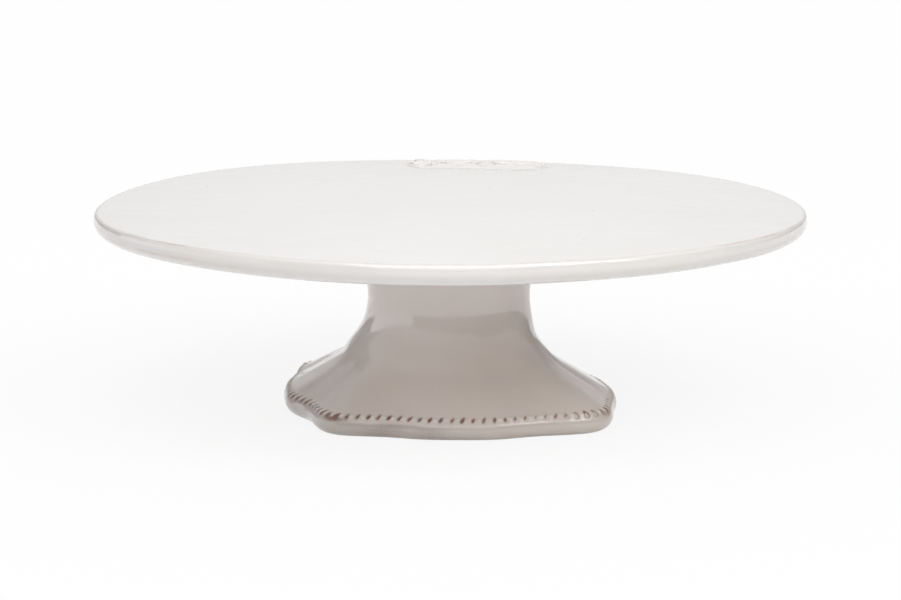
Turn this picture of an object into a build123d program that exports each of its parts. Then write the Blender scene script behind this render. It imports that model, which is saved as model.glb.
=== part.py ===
"""Pedestal cake stand in glazed ceramic, millimetres, +Z up, origin under the centre of the foot.

A flat round plate is luted with slip to a hollow waisted pedestal.  The pedestal's foot is a
four-sided lobed band with a row of beads on its ledge, one bow of the foot facing each of +X, +Y,
-X and -Y.  A small moulded ornament lies on the rim of the plate.
"""
from build123d import *
from math import asin, atan, atan2, cos, degrees, hypot, pi, radians, sin, tan
import os

os.makedirs("parts", exist_ok=True)

# ---- driving dimensions -------------------------------------------------------------------------
total_height = 92.0          # table to the cake seat

plate_diameter = 318.0
rim_thickness = 9.6          # plate between its rim's top face and its underside
plate_top_round = 1.6
plate_under_round = 4.8
seat_rise = 0.3              # cake seat above the rim
seat_gap = 6.7               # level rim between the cake seat and the ornament
level_border = 4.9           # level rim between the ornament and the edge's rounding

foot_radius = 77.4           # mean radius of the foot's outline
corner_swell = 4.2           # how far the four corners stand out of a round outline
bow_swell = 2.2              # how far the bow between two corners stands out
corner_crispness = 0.75
diagonal_stretch = 3.4       # how far the foot is drawn out of square, at +X -Y and -X +Y
band_height = 6.2
band_top_round = 1.4
band_bottom_round = 3.0
backing_rise = 3.9           # upright wall behind the beads

waist_radius = 36.9
neck_height = 26.6           # waist to the collar
flare_curl = 0.5             # 0 is a straight cone down to the foot, 1 is one arc
lobe_fade = 0.2              # how fast the lobes of the foot die out up the flare
wall = 5.5
collar_flare = 12.1          # how much the collar's radius exceeds the waist's
collar_wall = 7.6
collar_lip = 0.4             # collar that shows below the slip

bead_radius = 2.15
bead_sink = 0.55             # part of a bead's radius that its flat seat takes off
bead_gap = 0.25              # smallest space between two beads
bead_clearance = 0.05        # space between a bead and the wall behind it
ledge_lip = 0.8              # band in front of the beads

luting_width = 4.5           # slip along the plate's underside
luting_drop = 3.6            # slip down the pedestal's collar
luting_hollow = 0.7          # depth of the slip's hollow face

ornament_bearing = 79.3      # degrees from +X towards +Y
bed_thickness = 0.8
bed_round = 0.35
bed_margin = 2.0             # bed around its leaves, boss and ribbons
piece_gap = 1.0              # between neighbouring pieces of the ornament
boss_length = 10.4
boss_depth = 12.0
boss_height = 1.9
boss_round = 1.5
ribbon_width = 4.4
ribbon_height = 1.5
ribbon_rise = 2.6            # bow of a ribbon's centre line
ribbon_round = 0.6
left_ribbon_length = 16.5
right_ribbon_length = 22.0
leaf_count = 3
leaf_length = 10.9
leaf_width = 4.6
leaf_height = 1.6
leaf_round = 0.5
leaf_spread = 42.0           # degrees between two leaves of the spray
leaf_stand = 3.4             # root of the spray to the near end of each leaf

SIDES = 4                    # bows and corners of the foot
OUTLINE_POINTS = 72          # on each cross-section of the pedestal
COVE_STEPS = 4               # cross-sections along each cove
BEAD_LINE_STEPS = 1800       # short chords that measure one side's bead line

# ---- sizes that follow --------------------------------------------------------------------------
plate_radius = plate_diameter / 2
rim_top = total_height - seat_rise
plate_underside = rim_top - rim_thickness
top_round = min(plate_top_round, 0.3 * rim_thickness)
under_round = min(plate_under_round, 0.6 * rim_thickness)

ledge_width = ledge_lip + 2 * bead_radius + bead_clearance
backing_top = band_height + backing_rise
backing_radius = foot_radius - ledge_width

collar_height = luting_drop + collar_lip
collar_bottom = plate_underside - collar_height
collar_radius = waist_radius + collar_flare
waist_height = collar_bottom - neck_height

cone_angle = atan2(backing_radius - waist_radius, waist_height - backing_top)
flare_angle = cone_angle + flare_curl * (min(2 * cone_angle, pi / 2) - cone_angle)


# ---- the foot's lobed outline -------------------------------------------------------------------
def outline_radius(angle):
    """Polar radius of the foot's outline, a bow at every whole side."""
    wave = SIDES * angle
    swell = -corner_swell * cos(wave) + bow_swell * cos(2 * wave) - corner_crispness * cos(3 * wave)
    return foot_radius + swell - diagonal_stretch * sin(2 * angle)


def outline_point(angle, inset=0.0):
    """Point of the foot's outline, moved square to the outline towards the inside."""
    step = 1e-4
    radius = outline_radius(angle)
    slope = (outline_radius(angle + step) - outline_radius(angle - step)) / (2 * step)
    length = hypot(radius, slope)
    outward_x = (radius * cos(angle) + slope * sin(angle)) / length
    outward_y = (radius * sin(angle) - slope * cos(angle)) / length
    return (radius * cos(angle) - inset * outward_x, radius * sin(angle) - inset * outward_y)


def section_point(angle, radius, lobes):
    """Point of a cross-section that is round at lobes 0 and shaped as the foot at lobes 1."""
    foot_x, foot_y = outline_point(angle, ledge_width)
    x = (1 - lobes) * cos(angle) + lobes * foot_x / backing_radius
    y = (1 - lobes) * sin(angle) + lobes * foot_y / backing_radius
    return (radius * x, radius * y)


def smooth_face(point_at):
    """Face inside the smooth closed curve through the points that point_at gives for each angle."""
    turns = [2 * pi * step / OUTLINE_POINTS for step in range(OUTLINE_POINTS)]
    with BuildSketch() as drawn:
        with BuildLine():
            Spline(*[point_at(turn) for turn in turns], periodic=True)
        make_face()
    return drawn.sketch


def section_face(radius, lobes):
    return smooth_face(lambda angle: section_point(angle, radius, lobes))


def bell_sections(foot, foot_height, waist, throat):
    """Radius, height and lobes of a bell's cross-sections, from its foot over its waist to its throat."""
    out, down = foot - waist, waist_height - foot_height
    lower_cove = (down - out / tan(flare_angle)) / tan(flare_angle / 2)
    sections = [(foot, foot_height, 1.0)]
    for step in range(COVE_STEPS, -1, -1):
        angle = flare_angle * step / COVE_STEPS
        opened = lower_cove * (1 - cos(angle))
        lobes = (opened / out) ** lobe_fade
        sections.append((waist + opened, waist_height - lower_cove * sin(angle), lobes))
    out = throat - waist
    neck_angle = 2 * atan(out / neck_height)
    upper_cove = neck_height / sin(neck_angle)
    for step in range(1, COVE_STEPS + 1):
        angle = neck_angle * step / COVE_STEPS
        sections.append((waist + upper_cove * (1 - cos(angle)), waist_height + upper_cove * sin(angle), 0.0))
    return sections


# ---- pedestal -----------------------------------------------------------------------------------
with BuildPart() as pedestal:
    with BuildSketch():
        add(smooth_face(outline_point))
    extrude(amount=band_height)
    fillet(pedestal.edges().group_by(Axis.Z)[-1], radius=min(band_top_round, 0.3 * band_height))
    fillet(pedestal.edges().group_by(Axis.Z)[0], radius=min(band_bottom_round, 0.6 * band_height))

    outside = bell_sections(backing_radius, backing_top, waist_radius, collar_radius)
    mouth_radius = backing_radius - wall * cos(flare_angle)
    mouth_top = backing_top - wall * sin(flare_angle)
    hollow = bell_sections(mouth_radius, mouth_top, waist_radius - wall, collar_radius - collar_wall)
    # each in turn: upright foot, flared middle, upright collar
    for sections, mode in ((outside, Mode.ADD), (hollow, Mode.SUBTRACT)):
        with BuildSketch():
            add(section_face(sections[0][0], 1.0))
        extrude(amount=sections[0][1], mode=mode)
        for radius, height, lobes in sections:
            with BuildSketch(Plane.XY.offset(height)):
                add(section_face(radius, lobes))
        loft(mode=mode)
        with BuildSketch(Plane.XY.offset(collar_bottom)):
            add(section_face(sections[-1][0], 0.0))
        extrude(amount=collar_height, mode=mode)
pedestal.part.label = "pedestal"
export_step(pedestal.part, "parts/pedestal.step")

# ---- luting: the ring of slip that joins the plate to the pedestal ------------------------------
with BuildPart() as luting_ring:
    with BuildSketch(Plane.XZ):
        with BuildLine():
            low = (collar_radius, plate_underside - luting_drop)
            corner = (collar_radius, plate_underside)
            high = (collar_radius + luting_width, plate_underside)
            Polyline(low, corner, high)
            towards_corner = luting_hollow / hypot(luting_width, luting_drop)
            deepest = (
                collar_radius + (0.5 - towards_corner) * luting_width,
                plate_underside - (0.5 - towards_corner) * luting_drop,
            )
            ThreePointArc(high, deepest, low)
        make_face()
    revolve(axis=Axis.Z)
luting_ring.part.label = "luting_ring"
export_step(luting_ring.part, "parts/luting_ring.step")

# ---- beads: one strip on the ledge along each side of the foot ----------------------------------
bead_inset = ledge_width - bead_clearance - bead_radius
side_angle = 2 * pi / SIDES


def bead_angles(side):
    """Angles at which the beads of one side sit, evenly spaced along the ledge."""
    turns = [side_angle * (side + step / BEAD_LINE_STEPS - 0.5) for step in range(BEAD_LINE_STEPS + 1)]
    spots = [outline_point(turn, bead_inset) for turn in turns]
    lengths = [0.0]
    for (last_x, last_y), (x, y) in zip(spots, spots[1:]):
        lengths.append(lengths[-1] + hypot(x - last_x, y - last_y))
    count = int(lengths[-1] // (2 * bead_radius + bead_gap))
    targets = [lengths[-1] * (bead + 0.5) / count for bead in range(count)]
    return [next(turn for turn, length in zip(turns, lengths) if length >= target) for target in targets]


seat_latitude = -degrees(asin(1 - bead_sink / bead_radius))
for side, side_name in enumerate(("right", "back", "left", "front")):
    spots = [outline_point(turn, bead_inset) for turn in bead_angles(side)]
    with BuildPart() as bead_strip:
        with Locations(*[(x, y, band_height) for x, y in spots]):
            Sphere(bead_radius, arc_size1=seat_latitude, align=(Align.CENTER, Align.CENTER, Align.MIN))
    bead_strip.part.label = f"bead_strip_{side_name}"
    export_step(bead_strip.part, f"parts/bead_strip_{side_name}.step")

# ---- ornament on the rim: leaves, ribbon, boss and ribbon in a row on a low bed -----------------
spray_reach = leaf_stand + leaf_length
spray_half_angle = radians(leaf_spread * (leaf_count - 1) / 2)
bed_depth = 2 * (spray_reach * sin(spray_half_angle) + leaf_width / 2 + bed_margin)
row_length = spray_reach + left_ribbon_length + boss_length + right_ribbon_length + 3 * piece_gap
bed_length = row_length + 2 * bed_margin

spray_root = spray_reach - row_length / 2
left_ribbon_centre = spray_root + piece_gap + left_ribbon_length / 2
boss_centre = left_ribbon_centre + left_ribbon_length / 2 + piece_gap + boss_length / 2
right_ribbon_centre = boss_centre + boss_length / 2 + piece_gap + right_ribbon_length / 2

bed_outer_radius = plate_radius - top_round - level_border
ornament_radius = bed_outer_radius - bed_depth / 2
bearing = radians(ornament_bearing)
# x runs clockwise along the rim and y outwards
rim_plane = Plane(
    origin=(ornament_radius * cos(bearing), ornament_radius * sin(bearing), rim_top),
    x_dir=(sin(bearing), -cos(bearing), 0),
    z_dir=(0, 0, 1),
)
bed_plane = rim_plane.offset(bed_thickness)


def bed_place(along, outward=0.0, turn=0.0):
    """Plane on the bed's top at a distance along the rim, square to the rim there."""
    swing = along / ornament_radius
    reach = ornament_radius + outward
    place = Location((reach * sin(swing), reach * cos(swing) - ornament_radius), turn - degrees(swing))
    return Plane(bed_plane.location * place)


def crescent(length, width, rise):
    """Face between two arcs that meet in points at both ends."""
    with BuildSketch() as drawn:
        with BuildLine():
            ThreePointArc((-length / 2, 0), (0, rise + width / 2), (length / 2, 0))
            ThreePointArc((length / 2, 0), (0, rise - width / 2), (-length / 2, 0))
        make_face()
    return drawn.sketch


with BuildPart() as ornament_bed:
    with BuildSketch(rim_plane):
        with BuildLine(mode=Mode.PRIVATE):
            half_span = degrees((bed_length - bed_depth) / 2 / ornament_radius)
            spine = CenterArc((0, -ornament_radius), ornament_radius, 90 - half_span, 2 * half_span)
        SlotArc(spine, height=bed_depth)
    extrude(amount=bed_thickness)
    fillet(ornament_bed.edges().group_by(Axis.Z)[-1], radius=min(bed_round, 0.45 * bed_thickness))
ornament_bed.part.label = "ornament_bed"
export_step(ornament_bed.part, "parts/ornament_bed.step")

with BuildPart() as ornament_boss:
    with BuildSketch(bed_place(boss_centre)):
        Ellipse(boss_length / 2, boss_depth / 2)
    extrude(amount=boss_height)
    fillet(ornament_boss.edges().group_by(Axis.Z)[-1], radius=min(boss_round, 0.9 * boss_height))
ornament_boss.part.label = "ornament_boss"
export_step(ornament_boss.part, "parts/ornament_boss.step")

ribbons = (
    ("left", left_ribbon_centre, left_ribbon_length, -ribbon_rise),
    ("right", right_ribbon_centre, right_ribbon_length, ribbon_rise),
)
for side_name, centre, length, rise in ribbons:
    with BuildPart() as ribbon:
        with BuildSketch(bed_place(centre, -rise / 2)):
            add(crescent(length, ribbon_width, rise))
        extrude(amount=ribbon_height)
        fillet(ribbon.edges().group_by(Axis.Z)[-1], radius=min(ribbon_round, 0.4 * ribbon_height))
    ribbon.part.label = f"ornament_ribbon_{side_name}"
    export_step(ribbon.part, f"parts/ornament_ribbon_{side_name}.step")

with BuildPart() as ornament_leaves:
    for leaf in range(leaf_count):
        # each leaf points away from the root, the middle one along the row
        turn = leaf_spread * (leaf - (leaf_count - 1) / 2)
        middle = leaf_stand + leaf_length / 2
        along = spray_root - middle * cos(radians(turn))
        with BuildSketch(bed_place(along, -middle * sin(radians(turn)), turn)):
            add(crescent(leaf_length, leaf_width, 0.0))
        extrude(amount=leaf_height)
    fillet(ornament_leaves.edges().group_by(Axis.Z)[-1], radius=min(leaf_round, 0.4 * leaf_height))
ornament_leaves.part.label = "ornament_leaves"
export_step(ornament_leaves.part, "parts/ornament_leaves.step")

# ---- plate --------------------------------------------------------------------------------------
seat_radius = bed_outer_radius - bed_depth - seat_gap
with BuildPart() as plate:
    with BuildSketch(Plane.XY.offset(plate_underside)):
        Circle(plate_radius)
    extrude(amount=rim_thickness)
    fillet(plate.edges().group_by(Axis.Z)[-1], radius=top_round)
    fillet(plate.edges().group_by(Axis.Z)[0], radius=under_round)
    with BuildSketch(Plane.XY.offset(rim_top)):
        Circle(seat_radius)
    extrude(amount=seat_rise)
plate.part.label = "plate"
export_step(plate.part, "parts/plate.step")
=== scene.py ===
"""Looks of the glazed ceramic cake stand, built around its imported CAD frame."""
import math

import bpy
import numpy as np
from mathutils import Matrix, Vector


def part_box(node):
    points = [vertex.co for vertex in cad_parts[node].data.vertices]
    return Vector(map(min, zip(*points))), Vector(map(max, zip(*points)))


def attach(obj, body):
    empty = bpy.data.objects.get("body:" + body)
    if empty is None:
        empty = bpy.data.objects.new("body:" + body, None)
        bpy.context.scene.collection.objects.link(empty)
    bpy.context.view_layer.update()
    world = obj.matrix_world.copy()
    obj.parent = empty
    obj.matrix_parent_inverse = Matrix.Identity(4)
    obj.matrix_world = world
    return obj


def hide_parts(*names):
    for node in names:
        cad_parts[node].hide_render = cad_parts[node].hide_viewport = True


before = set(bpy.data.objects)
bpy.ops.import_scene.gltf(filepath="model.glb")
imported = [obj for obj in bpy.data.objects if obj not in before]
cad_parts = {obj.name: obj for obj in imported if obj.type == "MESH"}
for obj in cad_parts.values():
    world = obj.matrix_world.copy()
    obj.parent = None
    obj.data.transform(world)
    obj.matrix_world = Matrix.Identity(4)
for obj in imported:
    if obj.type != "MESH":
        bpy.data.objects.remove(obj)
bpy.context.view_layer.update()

MM = 0.001
FULL_TURN = 2 * math.pi
UPWARDS = np.array([0.0, 0.0, 1.0])

# ---- sizes, in millimetres ----------------------------------------------------------------------
plate_low, plate_high = (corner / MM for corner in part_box("plate"))
pedestal_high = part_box("pedestal")[1] / MM
collar_low, collar_high = (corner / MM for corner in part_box("luting_ring"))
bed_low, bed_high = (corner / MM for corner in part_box("ornament_bed"))

PLATE_RADIUS = (plate_high.x - plate_low.x) / 2
PLATE_THICKNESS = 9.6
PLATE_COLUMNS = 960
PLATE_MIDDLE_RADIUS = 2.0
SEAT_TOP = plate_high.z
SEAT_RADIUS = 84.0
SEAT_DISH = 0.35
# the seat's small rise above the rim is spread between these radii
SEAT_STEP = (85.0, 128.0)
PLATE_UNDERSIDE = pedestal_high.z
RIM_TOP = bed_low.z
BED_TOP = bed_high.z
# the edge's section: inwards from the plate's radius, and down from the rim's top
EDGE_SECTION = (
    (4.2, 0.0), (2.4, 0.03), (1.35, 0.22), (0.62, 0.75), (0.18, 1.7), (0.0, 3.3),
    (0.25, 5.1), (1.15, 6.8), (2.9, 8.35), (5.6, 9.28), (9.0, 9.55), (13.0, 9.6),
)
# the kiln warps the disc, out of round and out of flat: turns around it, cosine part, sine part
PLATE_OUT_OF_ROUND = ((2, -0.11, -0.15),)
PLATE_WARP = ((1, -0.32, 0.19), (2, -0.20, -0.32), (3, 0.19, 0.07), (4, -0.33, 0.23))

FOOT_RADIUS = 77.2
CORNER_SWELL = 3.45
BOW_SWELL = 2.05
CORNER_CRISPNESS = 0.87
CORNER_TWIST = 0.2
CORNER_TWIST_FINE = 0.25
DIAGONAL_STRETCH = 4.0
# hand work left the foot out of true: turns around it, cosine part, sine part
FOOT_WARP = ((3, 0.5, -1.25), (2, -1.1, 0.0), (5, -0.4, 0.0))
SIDES = 4
# heights between which the lobes and the skew of the stem's sections fade out
LOBES_FADE = (12.0, 46.0)
SKEW_FADE = (40.0, 74.0)
LEDGE_WIDTH = 5.15
BACKING_RADIUS = FOOT_RADIUS - LEDGE_WIDTH
BACKING_TOP = 10.1
# the band's section, from the hollow under the foot to the wall behind the beads: inset and height
BAND_SECTION = (
    (8.4, 1.4), (8.0, 0.35), (7.2, 0.0), (5.6, 0.0), (4.0, 0.0), (2.7, 0.28), (1.45, 1.15), (0.55, 2.4),
    (0.1, 3.8), (0.05, 4.9), (0.2, 6.0), (0.65, 7.1), (1.3, 8.0), (2.1, 8.75), (3.1, 9.3),
    (4.1, 9.7), (4.8, 9.98),
)
WAIST_RADIUS = 36.4
NECK_HEIGHT = 27.2
COLLAR_BOTTOM = collar_low.z - 0.4
WAIST_HEIGHT = COLLAR_BOTTOM - NECK_HEIGHT
FLARE_CURL = 0.46
WALL = 5.5
COLLAR_RADIUS = 49.0
COLLAR_WALL = 7.6
SLIP_TOP = PLATE_UNDERSIDE + 0.2
SLIP_COLUMNS = 360
# the slip ring's section: outwards from the collar, and height
SLIP_SECTION = (
    (-0.6, collar_low.z - 0.25), (0.12, collar_low.z + 0.1), (0.75, collar_low.z + 1.3),
    (1.9, collar_high.z - 1.2), (3.6, collar_high.z - 0.45), (4.5, collar_high.z - 0.05),
    (4.4, collar_high.z + 0.25), (2.0, collar_high.z + 0.3), (-0.6, collar_high.z + 0.3),
)
# the stem is not quite under the plate's middle, and leans a little
FOOT_SHIFT = np.array([-1.4, 1.3])
NECK_SHIFT = np.array([-0.75, 0.9])
LEAN_HEIGHTS = (30.0, 54.0)
# the flare sags to the left, and is fuller all round: how far, middle height, spread
SAG = (1.1, 31.0, 7.0)
FULLNESS = (0.75, 28.2, 4.3)
# creases of the mould down the flare: direction in degrees, depth, width in degrees
CREASES = ((-157, 0.45, 3.2), (-112, 0.30, 3.0), (-67, 0.35, 3.2), (-22, 0.5, 3.0),
           (23, 0.4, 3.2), (68, 0.3, 3.0), (112, 0.4, 3.4), (158, 0.45, 3.0))
# rows of the pedestal's lattice
FOOT_RING_ROWS = 22
CHANNEL_FIRST_ROW = 36
CHANNEL_ROWS_ABOVE_BAND = 8
SOFTENED_ROWS = (3, 5)
# heights over which something fades in, and over which it fades out again
RIPPLE_HEIGHTS = ((2.0, 12.0), (70.0, 82.0))
CREASE_HEIGHTS = ((9.5, 14.0), (20.0, 31.0))
CHANNEL_HEIGHTS = ((5.2, 6.6), (10.8, 12.0))
SOFTENING_PASSES = 10
OUTSIDE_STEPS = 14
INSIDE_STEPS = 7

BEADS_PER_SIDE = 26
BEAD_COUNT = SIDES * BEADS_PER_SIDE
BEAD_RADIUS = 1.68
BEAD_LONG = BEAD_RADIUS * 1.04
BEAD_SHORT = BEAD_RADIUS * 0.95
BEAD_MOUND = 0.28
BEAD_INSET = 2.95
BEAD_HEIGHT = 7.8
BEAD_PHASE = 0.42
BEAD_SLANT = 36
BEAD_SEED = 500
GAP_SEED = 21
BEAD_RINGS = 13
BEAD_SPOKES = 22
COLUMNS_PER_BEAD = 14
COLUMNS = BEAD_COUNT * COLUMNS_PER_BEAD

# where the iron lies around the foot: direction in degrees, width in degrees, strength
THIN_IRON = ((-67, 9, 1.0), (92, 14, 0.6), (20, 12, 0.5))
RINGED_IRON = ((-50, 7, 1.0),)
HEAVY_IRON = ((-163, 16, 1.0), (52, 10, 0.7))
RUBBED_OFF = ((153, 26, 1.0), (-8, 18, 1.0))
SMEARED_IRON = ((-134, 5, 0.85), (-160, 14, 0.30), (-41, 4, 0.5), (45, 7, 0.5), (137, 7, 0.6))
# painted shade on the band: direction in degrees, width in degrees, strength; then how dark the shade is
# painted along the band's foot
BAND_PAINTED_SHADE = ((-115, 30, 0.32), (-178, 14, 0.32), (-20, 13, 0.42))
FOOT_PAINTED_SHADE = 0.30
MARK_DEPTH = 0.30
MARK_DROP = 0.20
# the mark between two beads: its middle above theirs, half length, half width and how that tapers
MARK_RISE = 1.1
MARK_REACH = 1.2
MARK_WIDTH = 0.76
MARK_TAPER = 0.22
# the ring of iron round a drop of glaze: its middle below the mark's, radius, width, heaviest side
DROP_FALL = 0.3
DROP_RADIUS = 1.05
DROP_WIDTH = 0.45
DROP_HEAVY_SIDE = math.radians(55)

ORNAMENT_BEARING = math.radians(79.3)
ORNAMENT_RADIUS = 138.65
LEFT_RIBBON_LENGTH = 16.5
RIGHT_RIBBON_LENGTH = 22.0
RIBBON_WIDTH = 4.6
RIBBON_RISE = 2.6
BOSS_LENGTH = 10.4
PIECE_GAP = 1.0
SPRAY_REACH = 14.3
ROW_LENGTH = SPRAY_REACH + LEFT_RIBBON_LENGTH + BOSS_LENGTH + RIGHT_RIBBON_LENGTH + 3 * PIECE_GAP
SPRAY_ROOT = SPRAY_REACH - ROW_LENGTH / 2
LEFT_RIBBON = SPRAY_ROOT + PIECE_GAP + LEFT_RIBBON_LENGTH / 2
BOSS = LEFT_RIBBON + LEFT_RIBBON_LENGTH / 2 + PIECE_GAP + BOSS_LENGTH / 2
RIGHT_RIBBON = BOSS + BOSS_LENGTH / 2 + PIECE_GAP + RIGHT_RIBBON_LENGTH / 2
BED_LENGTH = ROW_LENGTH + 4.0
BED_DEPTH = 27.7
BED_SKIRT = 1.2
BED_EDGE_SINK = 0.15
BED_SINK = 0.6
BOSS_HALF_LENGTH = 5.3
BOSS_HALF_DEPTH = 6.0
# the boss's dome ends and its collar runs at these shares of its half sizes
BOSS_DOME = 0.80
BOSS_COLLAR = 0.90
BOSS_RISE = 1.25
BOSS_COLLAR_RISE = 0.5
BOSS_FLUTES = 14
# leaves of the spray: turn in degrees, length
LEAVES = ((-42.0, 10.6), (0.0, 11.2), (42.0, 10.6))
LEAF_WIDTH = 4.8
LEAF_MIDDLE = 3.4 + 10.9 / 2
RELIEF_SINK = 0.35
# iron round each motif of the bed: place along it, half length, half depth
BED_RINGS = ((LEFT_RIBBON, 8.5, 5.0), (BOSS, 6.0, 7.0), (RIGHT_RIBBON, 11.0, 5.0),
             (SPRAY_ROOT - 7.0, 7.5, 9.0))

# ---- camera, fitted to the photograph -----------------------------------------------------------
VIEW_AZIMUTH = math.radians(-5.5)
VIEW_ELEVATION = math.radians(8.62)
VIEW_DISTANCE = 1300.0
SIGHT_HEIGHT = 87.2
SIGHT_PIXEL = (450.3, 215.4)
IMAGE_SIZE = (901, 600)
PIXELS_PER_MM = 2.229
SENSOR_WIDTH = 36.0

view_right = np.array([math.cos(VIEW_AZIMUTH), math.sin(VIEW_AZIMUTH), 0.0])
view_away = np.array([-math.sin(VIEW_AZIMUTH), math.cos(VIEW_AZIMUTH), 0.0])

# ---- light, in metres and watts -----------------------------------------------------------------
# soft patches of light in the room: middle direction, strength and how closely it is gathered
ROOM_LIGHT = (
    (view_away + np.array([0, 0, 0.2]), 0.93, 12.0),
    (-view_away + np.array([0, 0, 0.2]), 0.15, 12.0),
)
ROOM_DARKNESS = 0.03
# the ceiling's brightness, and the sines of elevation between which it fades in
CEILING = 0.5
CEILING_EDGE = (0.63, 0.67)
FLOOR_SIZE = 9.0
LAMP_TARGET = (0, 0, 0.06)
# name, place, width and height, power
LAMPS = (
    ("overhead", (0.0, -0.7, 1.4), (1.6, 1.0), 10.8),
    ("front", (-0.15, -1.5, 1.0), (1.5, 0.8), 5.2),
    ("left", (-1.3, 0.1, 0.24), (1.75, 0.4), 2.6),
    ("right", (1.0, -1.1, 1.25), (1.0, 0.7), 8.2),
)


# ---- maths --------------------------------------------------------------------------------------
def smooth_step(low, high, value):
    share = np.clip((value - low) / (high - low), 0.0, 1.0)
    return share * share * (3 - 2 * share)


def between(spans, value):
    """1 from the end of the first span to the start of the second, fading smoothly over both."""
    fade_in, fade_out = spans
    return smooth_step(*fade_in, value) * (1 - smooth_step(*fade_out, value))


def bell(value, centre, width):
    """1 at the centre, falling off smoothly to both sides."""
    return np.exp(-((value - centre) / width) ** 2)


def degrees_from(angle, centre):
    """Signed way around from a direction in degrees to angles in radians, in degrees."""
    return np.mod(np.degrees(angle) - centre + 180, 360) - 180


def zones(angle, places):
    """Strength around the foot of several places: direction, width and strength of each."""
    return sum(strength * bell(degrees_from(angle, centre), 0, width) for centre, width, strength in places)


def waves_round(angle, waves):
    """Sum of waves round a turn: how many to the turn, cosine part and sine part of each."""
    return sum(cosine * np.cos(turn * angle) + sine * np.sin(turn * angle) for turn, cosine, sine in waves)


def grid(rows, columns):
    """The values of a row and of a column, spread over a whole lattice."""
    rows, columns = np.asarray(rows), np.asarray(columns)
    return rows[:, None] * np.ones(len(columns)), np.ones(len(rows))[:, None] * columns


def waviness(points, wavelength, seed, waves=14):
    """Smooth seeded noise of about unit height, for an array of points in millimetres."""
    chance = np.random.default_rng(seed)
    directions = chance.normal(size=(waves, 3))
    directions /= np.linalg.norm(directions, axis=1, keepdims=True)
    pitches = FULL_TURN / (wavelength * chance.uniform(0.7, 1.5, waves))
    phases = chance.uniform(0, FULL_TURN, waves)
    flat = np.asarray(points).reshape(-1, 3)
    total = np.sin(flat @ (directions * pitches[:, None]).T + phases).sum(axis=1)
    return (total / math.sqrt(waves / 2)).reshape(np.asarray(points).shape[:-1])


def smooth_path(knots, steps):
    """Catmull-Rom curve through the knots, as an array of points."""
    knots = np.asarray(knots, dtype=float)
    padded = np.vstack([2 * knots[0] - knots[1], knots, 2 * knots[-1] - knots[-2]])
    found = []
    for index in range(len(knots) - 1):
        a, b, c, d = padded[index:index + 4]
        for step in range(steps):
            t = step / steps
            found.append(0.5 * (2 * b + (c - a) * t + (2 * a - 5 * b + 4 * c - d) * t ** 2
                                + (3 * b - a - 3 * c + d) * t ** 3))
    found.append(knots[-1])
    return np.array(found)


# ---- mesh building ------------------------------------------------------------------------------
def make_piece(name, vertices, faces, wash, bare=None):
    """Mesh object in the row's frame from points in millimetres, with its wash (iron, and in places painted
    shade) and bare clay.
    """
    mesh = bpy.data.meshes.new(name)
    mesh.from_pydata((np.asarray(vertices) * MM).tolist(), [], faces)
    bare = np.zeros(len(vertices)) if bare is None else bare
    for label, values in (("wash", wash), ("bare", bare)):
        layer = mesh.attributes.new(label, "FLOAT", "POINT")
        layer.data.foreach_set("value", np.asarray(values, dtype=np.float32).ravel())
    mesh.polygons.foreach_set("use_smooth", [True] * len(mesh.polygons))
    mesh.validate()
    mesh.update()
    piece = bpy.data.objects.new(name, mesh)
    bpy.context.scene.collection.objects.link(piece)
    return piece


def finish_piece(piece, material, slot, *nodes):
    piece.data.materials.append(material)
    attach(piece, "root")
    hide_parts(*nodes)


def lattice_faces(rows, columns, wrap_rows, wrap_columns, offset=0):
    """Quads of a lattice whose points are stored row by row, facing out when rows run upwards."""
    row_count = rows if wrap_rows else rows - 1
    column_count = columns if wrap_columns else columns - 1
    faces = []
    for row in range(row_count):
        above = (row + 1) % rows
        for column in range(column_count):
            beside = (column + 1) % columns
            faces.append((
                offset + row * columns + column,
                offset + row * columns + beside,
                offset + above * columns + beside,
                offset + above * columns + column,
            ))
    return faces


def pole_faces(ring_start, columns, pole, upwards):
    """Triangles that close a ring of a lattice at one point."""
    faces = []
    for column in range(columns):
        beside = (column + 1) % columns
        ends = (ring_start + column, ring_start + beside)
        faces.append((*ends, pole) if upwards else (ends[1], ends[0], pole))
    return faces


def closed_patch(points, under_height, start):
    """A lattice of points and its flat underside, as vertices and faces; rows along, columns outward."""
    rows, columns = points.shape[:2]
    size = rows * columns
    under = points.copy()
    under[..., 2] = under_height
    # with its rows along and columns outward, the lattice faces down, so its top is turned round
    lattice = lattice_faces(rows, columns, False, False, start)
    faces = [face[::-1] for face in lattice] + [tuple(index + size for index in face) for face in lattice]
    border = [row * columns for row in range(rows)]
    border += [(rows - 1) * columns + column for column in range(1, columns)]
    border += [row * columns + columns - 1 for row in range(rows - 2, -1, -1)]
    border += list(range(columns - 2, 0, -1))
    for here, there in zip(border, border[1:] + border[:1]):
        faces.append((start + here + size, start + there + size, start + there, start + here))
    return np.vstack([points.reshape(-1, 3), under.reshape(-1, 3)]), faces


def turned(section, columns):
    """A section turned round the axis: its points, and the radius, height and angle of each."""
    angles = np.linspace(0, FULL_TURN, columns, endpoint=False)
    radius, around = grid(section[:, 0], angles)
    height = grid(section[:, 1], angles)[0]
    points = np.stack([radius * np.cos(around), radius * np.sin(around), height], axis=-1)
    return points, radius, height, around


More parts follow.
